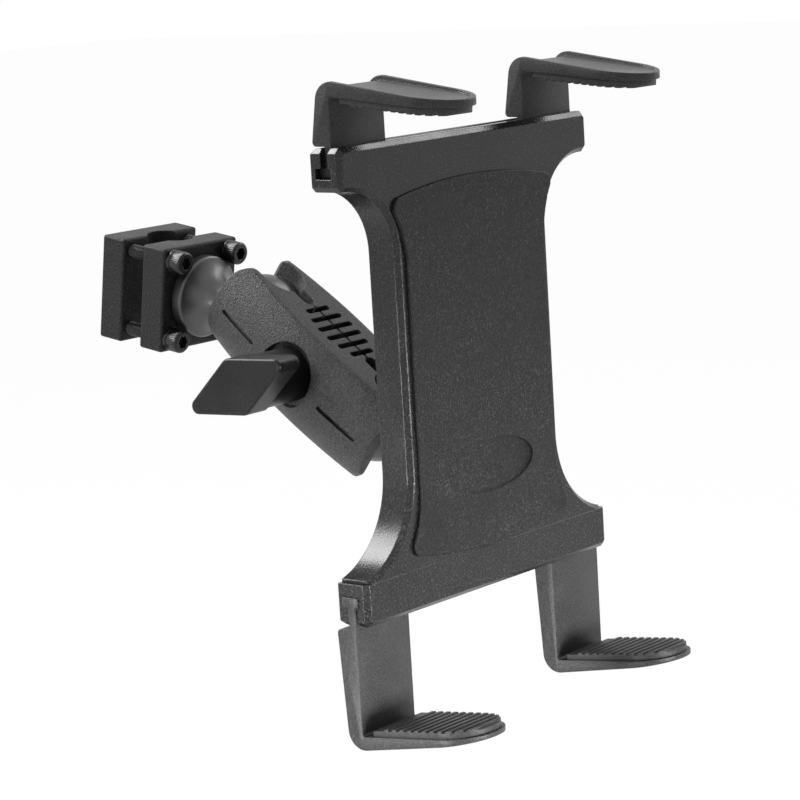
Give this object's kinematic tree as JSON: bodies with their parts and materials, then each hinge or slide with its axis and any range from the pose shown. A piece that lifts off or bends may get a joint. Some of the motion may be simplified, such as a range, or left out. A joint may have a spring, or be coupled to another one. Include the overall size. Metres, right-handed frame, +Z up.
{
  "type": "headrest tablet mount",
  "caption": "Tablet holder with a spring-loaded lower rail and sliding ribbed legs, on a two-ball arm with a wing knob, clamped to a round headrest post by two screwed jaws.",
  "frame": {"origin": "centre of the round post that the clamp grips, midway between the jaws", "axes": "+X along the holder's rails, -Y towards the tablet, +Z up the holder; the post leans 9 degrees"},
  "size_m": [0.1272, 0.1907, 0.2056],
  "materials": {
    "jaw_metal": "black satin",
    "stud_metal": "dark grey satin",
    "arm_metal": "dark grey powder coat",
    "black_steel": "black oxide",
    "bright_steel": "zinc",
    "brass": "turned",
    "knob_plastic": "smooth",
    "body_plastic": "satin faces and glossy bevels",
    "leg_plastic": "fine matte",
    "grip_rubber": "matte",
    "pad_rubber": "fine texture"
  },
  "bodies": {
    "clamp_front": {"front_jaw": "jaw_metal", "lock_washers": "black_steel", "clamp_stud_screw": "black_steel"},
    "clamp_rear": {"rear_jaw": "jaw_metal"},
    "clamp_stud": {"clamp_ball_stud": "stud_metal"},
    "arm": {"arm_half_rear": "arm_metal", "arm_bolt": "bright_steel", "arm_spring": "bright_steel"},
    "arm_front": {"arm_half_front": "arm_metal", "knob_washer": "bright_steel"},
    "knob": {"wing_knob": "knob_plastic", "knob_insert": "brass"},
    "holder_stud": {"holder_ball_stud": "stud_metal"},
    "holder": {"holder_body": "body_plastic", "back_cover": "body_plastic", "cover_screws": "black_steel", "adapter_plate": "jaw_metal", "adapter_screws": "black_steel", "holder_stud_screw": "black_steel", "front_pad": "pad_rubber", "tension_springs": "bright_steel"},
    "lower_rail": {"bottom_rail": "body_plastic", "slide_tongue": "knob_plastic", "tongue_screws": "black_steel"},
    "screw_1": {"clamp_screw_1": "black_steel"},
    "screw_2": {"clamp_screw_2": "black_steel"},
    "screw_3": {"clamp_screw_3": "black_steel"},
    "screw_4": {"clamp_screw_4": "black_steel"},
    "upper_left": {"upper_left_leg": "leg_plastic", "upper_left_grip": "grip_rubber"},
    "upper_right": {"upper_right_leg": "leg_plastic", "upper_right_grip": "grip_rubber"},
    "lower_left": {"lower_left_leg": "leg_plastic", "lower_left_grip": "grip_rubber"},
    "lower_right": {"lower_right_leg": "leg_plastic", "lower_right_grip": "grip_rubber"}
  },
  "joints": [
    {"name": "rear_jaw_slide", "type": "slide", "parent": "clamp_front", "child": "clamp_rear", "axis": [0, 0.9877, 0.1564], "range_m": [-0.008, 0.005]},
    {"name": "clamp_screw_1_turn", "type": "hinge", "parent": "clamp_front", "child": "screw_1", "pos_m": [-0.0136, -0.01665, 0.01113], "axis": [0, -0.9877, -0.1564], "range_deg": [-3600, 2250]},
    {"name": "clamp_screw_2_turn", "type": "hinge", "parent": "clamp_front", "child": "screw_2", "pos_m": [0.0136, -0.01665, 0.01113], "axis": [0, -0.9877, -0.1564], "range_deg": [-3600, 2250]},
    {"name": "clamp_screw_3_turn", "type": "hinge", "parent": "clamp_front", "child": "screw_3", "pos_m": [-0.0136, -0.01239, -0.01573], "axis": [0, -0.9877, -0.1564], "range_deg": [-3600, 2250]},
    {"name": "clamp_screw_4_turn", "type": "hinge", "parent": "clamp_front", "child": "screw_4", "pos_m": [0.0136, -0.01239, -0.01573], "axis": [0, -0.9877, -0.1564], "range_deg": [-3600, 2250]},
    {"name": "clamp_ball_swivel", "type": "hinge", "parent": "clamp_front", "child": "clamp_stud", "pos_m": [0, -0.04445, -0.00704], "axis": [0, -0.9877, -0.1564], "continuous": true},
    {"name": "arm_tilt", "type": "hinge", "parent": "clamp_stud", "child": "arm", "pos_m": [0, -0.04445, -0.00704], "axis": [1, 0, 0], "range_deg": [-90, 50]},
    {"name": "socket_release", "type": "slide", "parent": "arm", "child": "arm_front", "axis": [-1, 0, 0], "range_m": [0, 0.0015]},
    {"name": "knob_turn", "type": "hinge", "parent": "arm_front", "child": "knob", "pos_m": [0, -0.0678, -0.02457], "axis": [-1, 0, 0], "range_deg": [0, 540]},
    {"name": "holder_tilt", "type": "hinge", "parent": "arm", "child": "holder_stud", "pos_m": [0, -0.09115, -0.0421], "axis": [1, 0, 0], "range_deg": [-30, 90]},
    {"name": "holder_swivel", "type": "hinge", "parent": "holder_stud", "child": "holder", "pos_m": [0, -0.09115, -0.0421], "axis": [0, -1, 0], "continuous": true},
    {"name": "lower_rail_slide", "type": "slide", "parent": "holder", "child": "lower_rail", "axis": [0, 0, -1], "range_m": [0, 0.04], "stiffness_N_per_m": 375, "springref_m": -0.03, "deforming": ["tension_springs"]},
    {"name": "upper_left_leg_slide", "type": "slide", "parent": "holder", "child": "upper_left", "axis": [1, 0, 0], "range_m": [-0.0022, 0.03]},
    {"name": "upper_right_leg_slide", "type": "slide", "parent": "holder", "child": "upper_right", "axis": [-1, 0, 0], "range_m": [-0.0022, 0.03]},
    {"name": "lower_left_leg_slide", "type": "slide", "parent": "lower_rail", "child": "lower_left", "axis": [1, 0, 0], "range_m": [0, 0.03]},
    {"name": "lower_right_leg_slide", "type": "slide", "parent": "lower_rail", "child": "lower_right", "axis": [-1, 0, 0], "range_m": [0, 0.03]}
  ],
  "couplings": [
    {"joint": "knob_turn", "follows": "socket_release", "rad_per_m": 6283.2},
    {"joint": "clamp_screw_1_turn", "follows": "rear_jaw_slide", "rad_per_m": 7854},
    {"joint": "clamp_screw_2_turn", "follows": "rear_jaw_slide", "rad_per_m": 7854},
    {"joint": "clamp_screw_3_turn", "follows": "rear_jaw_slide", "rad_per_m": 7854},
    {"joint": "clamp_screw_4_turn", "follows": "rear_jaw_slide", "rad_per_m": 7854}
  ]
}
